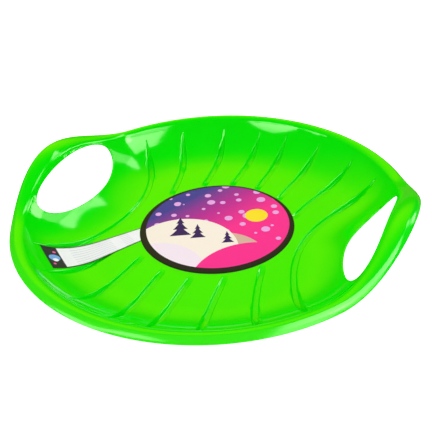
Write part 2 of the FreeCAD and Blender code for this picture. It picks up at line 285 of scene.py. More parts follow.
def rib_loops(spread):
    """Closed plan lines along the flanks of every rib, from the mouth to the root."""
    loops = []
    for line in RIB_LINES:
        is_long = line >= RIB_OUTER
        bow = rib_bow(line)
        tip_y = rib_y(line, RIB_TIP)
        first_y = -tip_y if is_long else rib_y(line, RIB_START)
        ys = np.linspace(first_y, tip_y, LONG_RIB_STEPS if is_long else SHORT_RIB_STEPS)
        xs = line + bow * ys ** 2
        slope = 2 * bow * ys
        middle = np.stack([xs, ys], 1)
        side = np.stack([np.ones_like(ys), -slope], 1) / np.hypot(1.0, slope)[:, None]
        mouth, flank = rib_width(np.hypot(xs, ys))
        for level in FLANK_LEVELS:
            half = mouth - level * flank + spread
            loop = [middle + side * half[:, None], (middle - side * half[:, None])[::-1]]
            if not is_long:
                turn = np.linspace(np.pi, 2 * np.pi, CAP_STEPS)[1:-1]
                turn = turn + math.atan2(side[0, 1], side[0, 0])
                loop.append(middle[0] + half[0] * np.stack([np.cos(turn), np.sin(turn)], 1))
            loops.append(np.concatenate(loop))
    return [loop * flip for loop in loops for flip in MIRRORS
            if flip[1] > 0 or loop[:, 1].min() >= 0]


print("rib flanks:", len(rib_loops(0.0)), "plan lines")

# %% Net of points
NET_STEP, ON_FACE = 4.0, 1e-6
BORDER_CLEAR, HOLE_CLEAR, RIB_CLEAR = 0.6 * NET_STEP, 0.5 * NET_STEP, 1.2
BORDER_STEPS = 720
border_turn = np.linspace(0.0, 2 * np.pi, BORDER_STEPS, endpoint=False)


def plan_net(step):
    """Rings of points over the whole dish, about one step apart."""
    points = [np.zeros((1, 2))]
    for ring, radius in enumerate(np.arange(step, RIM_RADIUS, step)):
        count = max(6, int(round(2 * math.pi * radius / step)))
        turn = 2 * np.pi * (np.arange(count) + 0.5 * (ring % 2)) / count
        points.append(radius * np.stack([np.cos(turn), np.sin(turn)], 1))
    return np.concatenate(points)


def bare_height(x, y, spread):
    """The inner face without its grooves, or with a spread the outer one without its runners."""
    return wall_height(x, y, 0.0 if spread == 0 else SHELL_WALL)


def border_radius(points, border):
    """Radius of the border in the direction of each point."""
    bearing = np.arctan2(points[:, 1], points[:, 0]) % (2 * np.pi)
    reach = np.hypot(border[:, 0], border[:, 1])
    return np.interp(bearing, border_turn, reach, period=2 * np.pi)


def free_net(height, border, spread):
    """The part of the net that is clear of the border, the holes and the ribs."""
    net = plan_net(NET_STEP)
    net_z = height(net[:, 0], net[:, 1])
    free = np.abs(net_z - bare_height(net[:, 0], net[:, 1], spread)) < ON_FACE
    free &= np.hypot(net[:, 0], net[:, 1]) < border_radius(net, border) - BORDER_CLEAR
    free &= ~in_hole(net[:, 0], net[:, 1], net_z, EDGE_GROW + HOLE_CLEAR)
    for shift in ((RIB_CLEAR, 0), (-RIB_CLEAR, 0), (0, RIB_CLEAR), (0, -RIB_CLEAR)):
        moved = net + shift
        bare = bare_height(moved[:, 0], moved[:, 1], spread)
        free &= np.abs(height(moved[:, 0], moved[:, 1]) - bare) <= ON_FACE
    return net[free]


print("net of", len(plan_net(NET_STEP)), "points over the dish")

# %% Mesh one face
PLAN_MERGE, SLOPE_STEP = 1e-3, 0.05


def loop_edges(start, count):
    return [(start + i, start + (i + 1) % count) for i in range(count)]


def mesh_face(height, border, ring, spread):
    """Triangulates one face of the dish. Returns its points, in millimetres, and triangles."""
    points = [free_net(height, border, spread)]
    edges, count = [], len(points[0])
    hole_loops = [ring[:, :2], ring[:, :2] * (-1, 1)]
    for loop in [border[:, :2]] + hole_loops + rib_loops(spread):
        edges += loop_edges(count, len(loop))
        points.append(loop)
        count += len(loop)
    plan = [Vector(point) for point in np.concatenate(points)]
    corners, _, triangles, _, _, _ = delaunay_2d_cdt(plan, edges, [], 0, PLAN_MERGE, False)
    corners = np.array([tuple(corner) for corner in corners])
    triangles = np.array(triangles)
    z = height(corners[:, 0], corners[:, 1])
    middle, middle_z = corners[triangles].mean(1), z[triangles].mean(1)
    keep = np.hypot(middle[:, 0], middle[:, 1]) < border_radius(middle, border)
    keep &= ~in_hole(middle[:, 0], middle[:, 1], middle_z, EDGE_GROW)
    return np.column_stack([corners, z]), triangles[keep]


def face_normals(points, height, facing):
    """Normals of a face, from its slope along and across."""
    x, y = points[:, 0], points[:, 1]
    slope_x = (height(x + SLOPE_STEP, y) - height(x - SLOPE_STEP, y)) / (2 * SLOPE_STEP)
    slope_y = (height(x, y + SLOPE_STEP) - height(x, y - SLOPE_STEP)) / (2 * SLOPE_STEP)
    normal = np.stack([-slope_x, -slope_y, np.ones_like(x)], 1) * facing
    return normal / np.linalg.norm(normal, axis=1)[:, None]


# %% [markdown]
# ## The rim
# The rim is a rolled flange: a crowned top, a rounded ridge and an outer face that falls away to a
# thin cut edge. Its outline is the same kind of chain of arcs all the way round, softer at the
# grips than between them, so it is a plain grid of rows along the rim, swept by formula. The inner
# crease and the cut edge are eased with small curves, because no moulding has a knife edge.

# %% Arcs and corners of the rim
EDGE_TURN = math.radians(30.0)
EDGE_RADIUS, GRIP_EDGE_RADIUS = 3.5, 9.0
FACE_RADIUS, GRIP_FACE_RADIUS = 22.0, 11.0
CREASE_EASE, CUT_EASE = 1.0, 0.5
CREASE_ROWS, CROWN_ROWS, RIDGE_ROWS, FACE_ROWS, CUT_ROWS = 6, 14, 9, 10, 5
UNDER_FACE_ROWS, UNDER_RIDGE_ROWS, UNDER_CROWN_ROWS = 8, 6, 8


def wall_point(angle, offset):
    _, _, _, foot, half_run, half_rise = wall_section(border_turn)
    r = foot + (half_run + offset) * np.sin(angle)
    z = FLOOR_TOP + half_rise - (half_rise + offset) * np.cos(angle)
    return r, z


def arc_rows(centre_r, centre_z, radius, start, end, count):
    """Rows along an arc, its angles measured from straight up towards the outside."""
    turns = [start + (end - start) * share for share in np.linspace(0.0, 1.0, count)]
    return [(centre_r + radius * np.sin(turn), centre_z + radius * np.cos(turn)) for turn in turns]


def eased_corner(before, corner, after, count):
    """Rows along a small curve that takes the place of a corner."""
    rows = []
    for t in np.linspace(0.0, 1.0, count):
        weights = ((1 - t) ** 2, 2 * t * (1 - t), t ** 2)
        pulls = list(zip(weights, (before, corner, after)))
        rows.append(tuple(sum(w * p[k] for w, p in pulls) for k in (0, 1)))
    return rows


# %% Rim rows
def rim_rows():
    """Rows from the inner crease over the top to the cut edge, and back below to the wall."""
    crest, rim_crown, crease_r, _, half_run, half_rise = wall_section(border_turn)
    grip = swell(border_turn, GRIP_HALF_ANGLE)
    edge = blend(EDGE_RADIUS, GRIP_EDGE_RADIUS, grip)
    face = blend(FACE_RADIUS, GRIP_FACE_RADIUS, grip)
    top_r = RIM_RADIUS - RIM_FALL

    # Crease, crowned top and ridge
    across = top_r - crease_r
    crown = (across ** 2 + rim_crown ** 2) / (2 * rim_crown)
    wall_length = np.hypot(half_run * math.cos(WALL_SWEEP), half_rise * math.sin(WALL_SWEEP))
    before = wall_point(WALL_SWEEP - CREASE_EASE / wall_length, 0.0)
    lean = np.arcsin(across / crown) - CREASE_EASE / crown
    after = (top_r - crown * np.sin(lean), crest - crown + crown * np.cos(lean))
    rows = eased_corner(before, (crease_r, crest - rim_crown), after, CREASE_ROWS)
    rows += arc_rows(top_r, crest - crown, crown, -lean, 0.0, CROWN_ROWS)[1:]
    rows += arc_rows(top_r, crest - edge, edge, 0.0, EDGE_TURN, RIDGE_ROWS)[1:]

    # Outer face and cut edge
    face_r = top_r + (edge - face) * math.sin(EDGE_TURN)
    face_z = crest - edge + (edge - face) * math.cos(EDGE_TURN)
    cut_lean = np.arcsin((RIM_RADIUS - face_r) / face) - CUT_EASE / face
    rows += arc_rows(face_r, face_z, face, EDGE_TURN, cut_lean, FACE_ROWS)[1:]
    for depth, start in ((CUT_EASE, 0.0), (SHELL_WALL - CUT_EASE, 0.5 * np.pi)):
        cut_r = face_r + (face - depth) * np.sin(cut_lean)
        cut_z = face_z + (face - depth) * np.cos(cut_lean)
        turn = cut_lean + start
        corner = arc_rows(cut_r, cut_z, CUT_EASE, turn, turn + 0.5 * np.pi, CUT_ROWS)
        rows += corner[1:] if start == 0.0 else corner

    # Underside, back to the wall
    rows += arc_rows(face_r, face_z, face - SHELL_WALL, cut_lean, EDGE_TURN, UNDER_FACE_ROWS)[1:]
    rows += arc_rows(top_r, crest - edge, edge - SHELL_WALL, EDGE_TURN, 0.0, UNDER_RIDGE_ROWS)[1:]
    under_r, under_z = wall_point(WALL_SWEEP, SHELL_WALL)
    across, drop = top_r - under_r, crest - SHELL_WALL - under_z
    crown = (across ** 2 + drop ** 2) / (2 * drop)
    lean = np.arcsin(across / crown)
    rows += arc_rows(top_r, crest - SHELL_WALL - crown, crown, 0.0, -lean, UNDER_CROWN_ROWS)[1:]

    radii = np.array([r + 0.0 * crest for r, _ in rows])
    levels = np.array([z + 0.0 * crest for _, z in rows])
    return np.stack([radii * np.cos(border_turn), radii * np.sin(border_turn), levels], -1)


rim = rim_rows()
print("rim of", len(rim), "rows with", BORDER_STEPS, "points each")

# %% Mesh both faces up to the rim
inner_points, inner_faces = mesh_face(inner_z, rim[0], inner_ring, 0.0)
outer_points, outer_faces = mesh_face(outer_z, rim[-1], outer_ring, RUNNER_SPREAD)
print("inner face", len(inner_faces), "triangles, outer face", len(outer_faces))

# %% Rounded edge of a hand hole
HOLE_EDGE_ROWS = 9


def hole_edge_grid(side):
    """Half-round strip from the inner ring to the outer ring of one hand hole."""
    middle = 0.5 * (inner_ring + outer_ring)
    half = 0.5 * (inner_ring - outer_ring)
    inward = -(np.outer(np.cos(hole_turn) / HOLE_HALF_LENGTH, (0, 1, 0))
               + np.outer(np.sin(hole_turn) / hole_depth(np.sin(hole_turn)), hole_up))
    inward = inward / np.linalg.norm(inward, axis=1)[:, None]
    inward = inward * np.linalg.norm(half, axis=1)[:, None]
    turns = np.linspace(0.0, np.pi, HOLE_EDGE_ROWS)
    grid = np.array([middle + half * math.cos(turn) + inward * math.sin(turn) for turn in turns])
    return grid * (side, 1, 1)


print("hole edge of", hole_edge_grid(1).shape[:2], "rows and points")

# %% [markdown]
# ## One closed shell
# The two faces, the rim and the hole edges share their border points. They are joined in one mesh
# and welded there. Each point also carries the normal that its formula gives, so the gloss runs
# smoothly over the uneven triangles.


# %% Parts of the shell
def grid_normals(grid):
    down = np.gradient(grid, axis=0)
    along = np.roll(grid, -1, 1) - np.roll(grid, 1, 1)
    normal = np.cross(down, along)
    return normal / np.maximum(np.linalg.norm(normal, axis=2), 1e-9)[..., None]


def grid_quads(rows, columns):
    index = np.arange(rows * columns).reshape(rows, columns)
    low, high = index[:-1], index[1:]
    return np.stack([low, high, np.roll(high, -1, 1), np.roll(low, -1, 1)], -1).reshape(-1, 4)


def shell_parts():
    """Points, faces and normals of the two faces, the rim and the two hole edges."""
    rim_quads = grid_quads(*rim.shape[:2])
    parts = [
        (inner_points, inner_faces.tolist(), face_normals(inner_points, inner_z, 1.0)),
        (outer_points, outer_faces[:, ::-1].tolist(), face_normals(outer_points, outer_z, -1.0)),
        (rim.reshape(-1, 3), rim_quads.tolist(), grid_normals(rim).reshape(-1, 3)),
    ]
    for side in (1, -1):
        edge = hole_edge_grid(side)
        normals = grid_normals(edge) * side
        quads = grid_quads(*edge.shape[:2])
        parts.append((edge.reshape(-1, 3), quads[:, ::side].tolist(), normals.reshape(-1, 3)))
    return parts


def joined_mesh(name, parts):
    """One mesh of all the parts, with their normals kept beside the points."""
    points, faces, normals, first = [], [], [], 0
    for part_points, part_faces, part_normals in parts:
        points.append(part_points)
        normals.append(part_normals)
        faces += [[first + corner for corner in face] for face in part_faces]
        first += len(part_points)
    mesh = bpy.data.meshes.new(name)
    mesh.from_pydata((np.concatenate(points) * MM).tolist(), [], faces)
    layer = mesh.attributes.new("shape_normal", "FLOAT_VECTOR", "POINT")
    layer.data.foreach_set("vector", np.concatenate(normals).astype(np.float32).ravel())
    return mesh


shell_mesh = joined_mesh("sled_shell", shell_parts())
print("shell before welding:", len(shell_mesh.vertices), "points")

# %% Weld the shell
WELD, SLIVER, AGREE = 0.02, 0.002, 0.5


def weld(mesh):
    """Welds the parts along their borders. Returns how many edges stay open."""
    welded = bmesh.new()
    welded.from_mesh(mesh)
    loose = [vert for vert in welded.verts if not vert.link_faces]
    bmesh.ops.delete(welded, geom=loose, context="VERTS")
    bmesh.ops.remove_doubles(welded, verts=welded.verts, dist=WELD * MM)
    bmesh.ops.dissolve_degenerate(welded, dist=SLIVER * MM, edges=welded.edges)
    bmesh.ops.recalc_face_normals(welded, faces=welded.faces)
    open_edges = sum(len(edge.link_faces) != 2 for edge in welded.edges)
    welded.to_mesh(mesh)
    welded.free()
    return open_edges


def smooth(mesh):
    for polygon in mesh.polygons:
        polygon.use_smooth = True


def use_shape_normals(mesh):
    """Shades with the formulas' normals. Returns how many were off and gave way to the mesh's."""
    kept = np.empty(len(mesh.vertices) * 3, np.float32)
    mesh.attributes["shape_normal"].data.foreach_get("vector", kept)
    mesh.attributes.remove(mesh.attributes["shape_normal"])
    natural = np.empty_like(kept)
    mesh.vertex_normals.foreach_get("vector", natural)
    kept, natural = kept.reshape(-1, 3), natural.reshape(-1, 3)
    off = (kept * natural).sum(1) < AGREE
    kept[off] = natural[off]
    mesh.normals_split_custom_set_from_vertices(kept.tolist())
    return int(off.sum())


def add_piece(name, mesh):
    piece = bpy.data.objects.new(name, mesh)
    bpy.context.collection.objects.link(piece)
    return piece


open_edges = weld(shell_mesh)
smooth(shell_mesh)
normals_off = use_shape_normals(shell_mesh)
shell = add_piece("sled_shell", shell_mesh)
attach(shell, "root")
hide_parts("shell")
print("shell:", len(shell_mesh.vertices), "points,", len(shell_mesh.polygons), "faces,",
      open_edges, "open edges,", normals_off, "normals off")

# %% [markdown]
# ## Working with shader nodes
# Every finish below is a small network of nodes. Written out link by link that is hard to read, so
# a few helpers do the wiring: one adds a node and fills its inputs, two do arithmetic, one fades a
# value in, one runs a value through a row of colours, and one lays a colour over another through a
# mask.

# %% Node helpers
NUMBER_RESULTS = ("LENGTH", "DISTANCE", "DOT_PRODUCT")
MIX_MASK, MIX_BELOW, MIX_ABOVE, MIX_COLOUR = 0, 6, 7, 2  # sockets of a Mix node for colours


def add_node(tree, kind, inputs=None, **settings):
    node = tree.nodes.new(kind)
    for name, value in settings.items():
        setattr(node, name, value)
    for name, value in (inputs or {}).items():
        if isinstance(value, bpy.types.NodeSocket):
            tree.links.new(value, node.inputs[name])
        else:
            node.inputs[name].default_value = value
    return node


def calc(tree, operation, *values):
    node = add_node(tree, "ShaderNodeMath", dict(enumerate(values)), operation=operation)
    return node.outputs[0]


def vector_calc(tree, operation, *values):
    """Arithmetic on vectors. A length, a distance or a dot product comes out as a number."""
    node = add_node(tree, "ShaderNodeVectorMath", dict(enumerate(values)), operation=operation)
    return node.outputs["Value" if operation in NUMBER_RESULTS else "Vector"]


def fade(tree, value, low, high, to_low=0.0, to_high=1.0, **settings):
    """Goes from to_low to to_high while the value goes from low to high, and stays there."""
    inputs = {"Value": value, "From Min": low, "From Max": high,
              "To Min": to_low, "To Max": to_high}
    return add_node(tree, "ShaderNodeMapRange", inputs, **settings).outputs[0]


def ramp(tree, value, stops):
    """A run of colours through (place, colour) stops."""
    node = add_node(tree, "ShaderNodeValToRGB", {0: value})
    elements = node.color_ramp.elements
    elements[0].position, elements[1].position = stops[0][0], stops[-1][0]
    for place, _ in stops[1:-1]:
        elements.new(place)
    for element, (_, colour) in zip(elements, stops):
        element.color = colour
    return node.outputs[0]


def lay_over(tree, below, above, mask):
    """Colour above over colour below where the mask is 1."""
    inputs = {MIX_MASK: mask, MIX_BELOW: below, MIX_ABOVE: above}
    return add_node(tree, "ShaderNodeMix", inputs, data_type="RGBA").outputs[MIX_COLOUR]


# %% Colours and new materials
def srgb(red, green, blue):
    """A colour given as it looks on screen, 0 to 255, as the linear colour that shaders use."""
    linear = []
    for level in (red, green, blue):
        share = level / 255
        linear.append(((share + 0.055) / 1.055) ** 2.4 if level > 10 else share / 12.92)
    return (*linear, 1.0)


def new_material(name):
    material = bpy.data.materials.new(name)
    material.use_nodes = True
    tree = material.node_tree
    return material, tree, tree.nodes["Principled BSDF"]


print("a mid grey of 128 on screen is", round(srgb(128, 128, 128)[0], 3), "to a shader")

# %% [markdown]
# ## A shared surface grain
# Moulded plastic, vinyl film and paper all have a surface that is not quite flat: a slow waviness
# that bends reflections and a fine grain on top. One node group makes both from noise, and each
# material places it with its own scale.

# %% Surface grain group
grain = bpy.data.node_groups.new("surface_grain", "ShaderNodeTree")
grain.interface.new_socket("Vector", in_out="INPUT", socket_type="NodeSocketVector")
for name, value in (("Wave Scale", 30.0), ("Grain Scale", 900.0), ("Grain Share", 0.2)):
    socket = grain.interface.new_socket(name, in_out="INPUT", socket_type="NodeSocketFloat")
    socket.default_value = value
grain.interface.new_socket("Height", in_out="OUTPUT", socket_type="NodeSocketFloat")
grain.interface.new_socket("Mottle", in_out="OUTPUT", socket_type="NodeSocketFloat")
entry = add_node(grain, "NodeGroupInput").outputs
wave = add_node(grain, "ShaderNodeTexNoise", {
    "Vector": entry["Vector"], "Scale": entry["Wave Scale"], "Detail": 1.0, "Roughness": 0.4})
fine = add_node(grain, "ShaderNodeTexNoise", {
    "Vector": entry["Vector"], "Scale": entry["Grain Scale"], "Detail": 2.0, "Roughness": 0.5})
fine_part = calc(grain, "MULTIPLY", fine.outputs[0], entry["Grain Share"])
leave = add_node(grain, "NodeGroupOutput").inputs
grain.links.new(calc(grain, "ADD", wave.outputs[0], fine_part), leave["Height"])
grain.links.new(wave.outputs[0], leave["Mottle"])
print("group", grain.name, [item.name for item in grain.interface.items_tree])


# %% Grain in a material
def place_grain(tree, wave_scale, grain_scale, grain_share):
    """Puts the grain on a piece. Returns its place on the piece, and the grain's outputs."""
    place = add_node(tree, "ShaderNodeTexCoord").outputs["Object"]
    node = add_node(tree, "ShaderNodeGroup", node_tree=grain)
    tree.links.new(place, node.inputs["Vector"])
    scales = {"Wave Scale": wave_scale, "Grain Scale": grain_scale, "Grain Share": grain_share}
    for name, value in scales.items():
        node.inputs[name].default_value = value
    return place, node.outputs


def wire_finish(tree, bsdf, colour, rough, height, strength, distance):
    """Links a colour, a roughness and a bump to the shader."""
    inputs = {"Strength": strength, "Distance": distance, "Height": height}
    bump = add_node(tree, "ShaderNodeBump", inputs)
    tree.links.new(colour, bsdf.inputs["Base Color"])
    tree.links.new(rough, bsdf.inputs["Roughness"])
    tree.links.new(bump.outputs[0], bsdf.inputs["Normal"])


# %% [markdown]
# ## Green plastic
# The shell is glossy green polyethylene. Its red and blue are almost nil, so all that is not green
# in it is reflected light, apart from the painted glow below. The runners rub on snow and stones,
# so their undersides get a dull, scratched finish. The outer face of the rim is handled and knocked
# about, and is a little duller than the dish. Close to the table that outer face also gets a
# painted
# glow: a yellower green that stands in for light through its thin edge and for the table it
# reflects.

# %% Colours and zones of the plastic, places in metres
PLASTIC_GREEN = (0.0012, 0.86, 0.0004, 1.0)
PLASTIC_SHADE = (0.0008, 0.83, 0.0003, 1.0)
# Painted glow: a yellower green for the rim's outer face near the table, standing in for light.
PLASTIC_PAINTED_GLOW = (0.034, 0.86, 0.0004, 1.0)
PLASTIC_ROUGH, WORN_ROUGH, HANDLED_ROUGH = (0.075, 0.11), 0.6, 0.08
WORN_HEIGHTS, SCRATCH_SCALE = (0.0030, 0.0002), (900.0, 40.0, 900.0)
HANDLED_RADII = (0.2745, 0.279)
# Radii and heights where the painted glow lies on the rim's outer face.
PAINTED_GLOW_RADII, PAINTED_GLOW_HEIGHTS = (0.2735, 0.2775), (0.064, 0.054)
print("plastic worn below", WORN_HEIGHTS[0], "m, handled beyond", HANDLED_RADII[0], "m")

# %% Plastic of the shell
plastic, tree, bsdf = new_material("sled_plastic")
place, surface = place_grain(tree, wave_scale=14.0, grain_scale=1400.0, grain_share=0.04)
height = add_node(tree, "ShaderNodeSeparateXYZ", {0: place}).outputs["Z"]
radius = vector_calc(tree, "LENGTH", vector_calc(tree, "MULTIPLY", place, (1.0, 1.0, 0.0)))

scratch_map = add_node(tree, "ShaderNodeMapping", {"Vector": place, "Scale": SCRATCH_SCALE})
scratch = add_node(tree, "ShaderNodeTexNoise", {
    "Vector": scratch_map.outputs[0], "Scale": 1.0, "Detail": 3.0})
worn = calc(tree, "MULTIPLY", fade(tree, height, *WORN_HEIGHTS), scratch.outputs[0])
gloss = fade(tree, surface["Mottle"], 0.0, 1.0, *PLASTIC_ROUGH)
handled = fade(tree, radius, *HANDLED_RADII, 0.0, HANDLED_ROUGH)
rough = calc(tree, "ADD", calc(tree, "MULTIPLY_ADD", worn, WORN_ROUGH, gloss), handled)

colour = lay_over(tree, PLASTIC_GREEN, PLASTIC_SHADE, surface["Mottle"])
# Painted glow: near the table the rim's outer face is laid over with a yellower green instead of
# light.
edge, lowered = fade(tree, radius, *PAINTED_GLOW_RADII), fade(tree, height, *PAINTED_GLOW_HEIGHTS)
colour = lay_over(tree, colour, PLASTIC_PAINTED_GLOW, calc(tree, "MULTIPLY", edge, lowered))
wire_finish(tree, bsdf, colour, rough, surface["Height"], strength=0.35, distance=0.0006)
bsdf.inputs["IOR"].default_value = 1.5
shell.data.materials.append(plastic)
print("plastic on", shell.name, "with", len(tree.nodes), "nodes")

# %% [markdown]
# ## Round label
# A printed vinyl disc is stuck on the middle of the floor. It is thin, with a cut edge that catches
# the light, so it is turned as a profile: flat top, small rounded edge, flat underside. A flat map
# of its face goes with it, so that the print can be laid out in shares of the label's radius.

# %% Turn the round label
LABEL_RADIUS, LABEL_SHIFT, LABEL_PAPER = 113.8, (3.0, 5.6), 0.3
DISC_STEPS, DISC_RINGS, DISC_BEND_ROWS = 240, 24, 5
DISC_SPAN = (0.04, 0.96)  # shares of the radius between which the rings lie


def turned_disc(name, radius, centre, low, high):
    """A flat disc between two heights, with a rounded upper edge."""
    ease_r = 0.5 * (high - low)
    turn = np.linspace(0.0, 2 * np.pi, DISC_STEPS, endpoint=False)
    profile = [(radius * share, high) for share in np.linspace(*DISC_SPAN, DISC_RINGS)]
    profile.append((radius - ease_r, high))
    for a in np.linspace(0.0, 0.5 * np.pi, DISC_BEND_ROWS)[1:]:
        profile.append((radius - ease_r + ease_r * math.sin(a),
                        high - ease_r + ease_r * math.cos(a)))
    profile += [(radius, low), (0.5 * radius, low)]
    rows = [(r * math.cos(a) + centre[0], r * math.sin(a) + centre[1], z)
            for r, z in profile for a in turn]
    points = np.array(rows + [(*centre, high), (*centre, low)]) * MM
    top, under = len(rows), len(rows) + 1
    last = len(rows) - DISC_STEPS
    faces = grid_quads(len(profile), DISC_STEPS).tolist()
    for i, j in loop_edges(0, DISC_STEPS):
        faces += [[top, i, j], [under, last + j, last + i]]
    mesh = bpy.data.meshes.new(name)
    mesh.from_pydata(points.tolist(), [], faces)
    smooth(mesh)
    return add_piece(name, mesh)


round_label = turned_disc("round_label_vinyl", LABEL_RADIUS, LABEL_SHIFT,
                          FLOOR_TOP, FLOOR_TOP + LABEL_PAPER)
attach(round_label, "root")
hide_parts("round_label")
print("round label:", len(round_label.data.vertices), "points")

# %% Flat map of the round label
PRINT_RADIUS, PRINT_SHIFT = 106.0, (-1.0, 4.4)
VIEW_TURN = math.radians(27.09)
FAR = np.array([-math.sin(VIEW_TURN), math.cos(VIEW_TURN)])
RIGHT = np.array([FAR[1], -FAR[0]])


def add_flat_map(mesh, name, spots):
    """Gives each corner of a mesh its point's place on a flat map."""
    corners = np.empty(len(mesh.loops), np.int32)
    mesh.loops.foreach_get("vertex_index", corners)
    layer = mesh.uv_layers.new(name=name)
    layer.data.foreach_set("uv", spots[corners].astype(np.float32).ravel())


def label_map(mesh):
    """0 to 1 over the print: right along u, away from the camera along v."""
    points = np.empty(len(mesh.vertices) * 3, np.float32)
    mesh.vertices.foreach_get("co", points)
    points = points.reshape(-1, 3) / MM
    flat = points[:, :2] - np.array(LABEL_SHIFT) - np.array(PRINT_SHIFT)
    return 0.5 + 0.5 * np.stack([flat @ RIGHT, flat @ FAR], 1) / PRINT_RADIUS


add_flat_map(round_label.data, "print", label_map(round_label.data))
print("maps of the round label:", [layer.name for layer in round_label.data.uv_layers])

# %% [markdown]
# ## Print on the round label
# The print is a plain winter landscape: an evening sky from violet to hot pink with falling snow, a
# low sun, round cream snow mounds and a few firs, inside a dark border. Each motif is a mask worked
# out from the flat map, laid over the last one as a printer lays down inks.

# %% Fir tree group
FIR_TIERS, FIR_TOP, FIR_NOTCH = 3.0, 1.08, -0.55
fir = bpy.data.node_groups.new("fir_tree", "ShaderNodeTree")
for name in ("U", "V", "Foot U", "Foot V", "Height", "Half Width"):
    fir.interface.new_socket(name, in_out="INPUT", socket_type="NodeSocketFloat")
fir.interface.new_socket("Mask", in_out="OUTPUT", socket_type="NodeSocketFloat")
entry = add_node(fir, "NodeGroupInput").outputs
above_foot = calc(fir, "SUBTRACT", entry["V"], entry["Foot V"])
up_share = calc(fir, "DIVIDE", above_foot, entry["Height"])
tier = calc(fir, "FRACT", calc(fir, "MULTIPLY", up_share, FIR_TIERS))
taper = calc(fir, "MULTIPLY", calc(fir, "SUBTRACT", FIR_TOP, up_share),
             calc(fir, "MULTIPLY_ADD", tier, FIR_NOTCH, 1.0))
half = calc(fir, "MULTIPLY", taper, entry["Half Width"])
side = calc(fir, "ABSOLUTE", calc(fir, "SUBTRACT", entry["U"], entry["Foot U"]))
inside = calc(fir, "MULTIPLY", calc(fir, "LESS_THAN", side, half),
              calc(fir, "GREATER_THAN", up_share, 0.0))
leave = add_node(fir, "NodeGroupOutput").inputs
fir.links.new(calc(fir, "MULTIPLY", inside, calc(fir, "LESS_THAN", up_share, 1.0)), leave["Mask"])
print("group", fir.name, "with", len(fir.nodes), "nodes")

# %% Inks and motifs, in shares of the print's radius
VIOLET, MAGENTA, PINK = srgb(72, 62, 150), srgb(190, 40, 150), srgb(255, 45, 145)
CREAM, TAN, SNOW = srgb(253, 240, 225), srgb(218, 180, 160), srgb(250, 232, 244)
LILAC, SUN = srgb(236, 170, 232), srgb(255, 226, 40)
FIR, BORDER = srgb(60, 30, 96), srgb(36, 34, 32)
SKY = ((0.12, VIOLET), (0.32, MAGENTA), (0.55, PINK))
SKY_LEAN, SKY_SPAN = (0.45, 0.55), (0.6, 0.45)
FLAKE_CELLS, FLAKE_STRAY, FLAKE_SIZES = 4.2, 0.8, (0.22, 0.05)
VINYL_ROUGH = (0.30, 0.42)
MOUNDS = (
    (SUN, (0.56, 0.14, 0.0), 0.16),
    (TAN, (0.00, -0.82, 0.0), 0.60),
    (CREAM, (-0.50, -0.58, 0.0), 0.76),
    (SNOW, (-0.86, -1.02, 0.0), 0.66),
    (PINK, (0.42, -1.34, 0.0), 0.84),
)
FIRS = (
    {"Foot U": -0.52, "Foot V": -0.22, "Height": 0.44, "Half Width": 0.14},
    {"Foot U": -0.28, "Foot V": -0.30, "Height": 0.32, "Half Width": 0.10},
    {"Foot U": 0.12, "Foot V": -0.46, "Height": 0.26, "Half Width": 0.08},
)
print(len(MOUNDS), "round motifs and", len(FIRS), "firs")


# %% Landscape print
def landscape(tree):
    """The whole print, one ink over the other."""
    flat = add_node(tree, "ShaderNodeUVMap", uv_map="print").outputs[0]
    middle = vector_calc(tree, "MULTIPLY_ADD", flat, (2.0, 2.0, 0.0), (-1.0, -1.0, 0.0))
    split = add_node(tree, "ShaderNodeSeparateXYZ", {0: middle})
    u, v = split.outputs["X"], split.outputs["Y"]
    slant = calc(tree, "SUBTRACT", calc(tree, "MULTIPLY", u, SKY_LEAN[0]),
                 calc(tree, "MULTIPLY", v, SKY_LEAN[1]))
    colour = ramp(tree, calc(tree, "MULTIPLY_ADD", slant, *SKY_SPAN), SKY)

    cells = add_node(tree, "ShaderNodeTexVoronoi", {
        "Vector": middle, "Scale": FLAKE_CELLS, "Randomness": FLAKE_STRAY},
        voronoi_dimensions="2D")
    chance = add_node(tree, "ShaderNodeSeparateXYZ", {0: cells.outputs["Color"]}).outputs["X"]
    flake_size = calc(tree, "MULTIPLY_ADD", chance, *FLAKE_SIZES)
    flake = calc(tree, "LESS_THAN", cells.outputs["Distance"], flake_size)
    colour = lay_over(tree, colour, LILAC, flake)

    for ink, centre, size in MOUNDS:
        out_way = vector_calc(tree, "DISTANCE", middle, centre)
        colour = lay_over(tree, colour, ink, calc(tree, "LESS_THAN", out_way, size))
    for spot in FIRS:
        mask = add_node(tree, "ShaderNodeGroup", node_tree=fir)
        for name, value in spot.items():
            mask.inputs[name].default_value = value
        tree.links.new(u, mask.inputs["U"])
        tree.links.new(v, mask.inputs["V"])
        colour = lay_over(tree, colour, FIR, mask.outputs["Mask"])
    out_way = vector_calc(tree, "LENGTH", middle)
    return lay_over(tree, colour, BORDER, calc(tree, "GREATER_THAN", out_way, 1.0))


vinyl, tree, bsdf = new_material("printed_vinyl")
_, surface = place_grain(tree, wave_scale=45.0, grain_scale=2200.0, grain_share=0.3)
gloss = fade(tree, surface["Mottle"], 0.0, 1.0, *VINYL_ROUGH)
picture = landscape(tree)
wire_finish(tree, bsdf, picture, gloss, surface["Height"], strength=0.2, distance=0.0002)
bsdf.inputs["Specular IOR Level"].default_value = 0.08
round_label.data.materials.append(vinyl)
print("print with", len(tree.nodes), "nodes")

# %% [markdown]
# ## Strip label
# A narrow paper strip runs from the round label over the floor and up the wall, a little wider at
# its outer end. Paper bridges the groove below it, so it follows the bare wall and not the ribs. It
# is a thin closed sheet over a grid that is laid out along and across the strip.

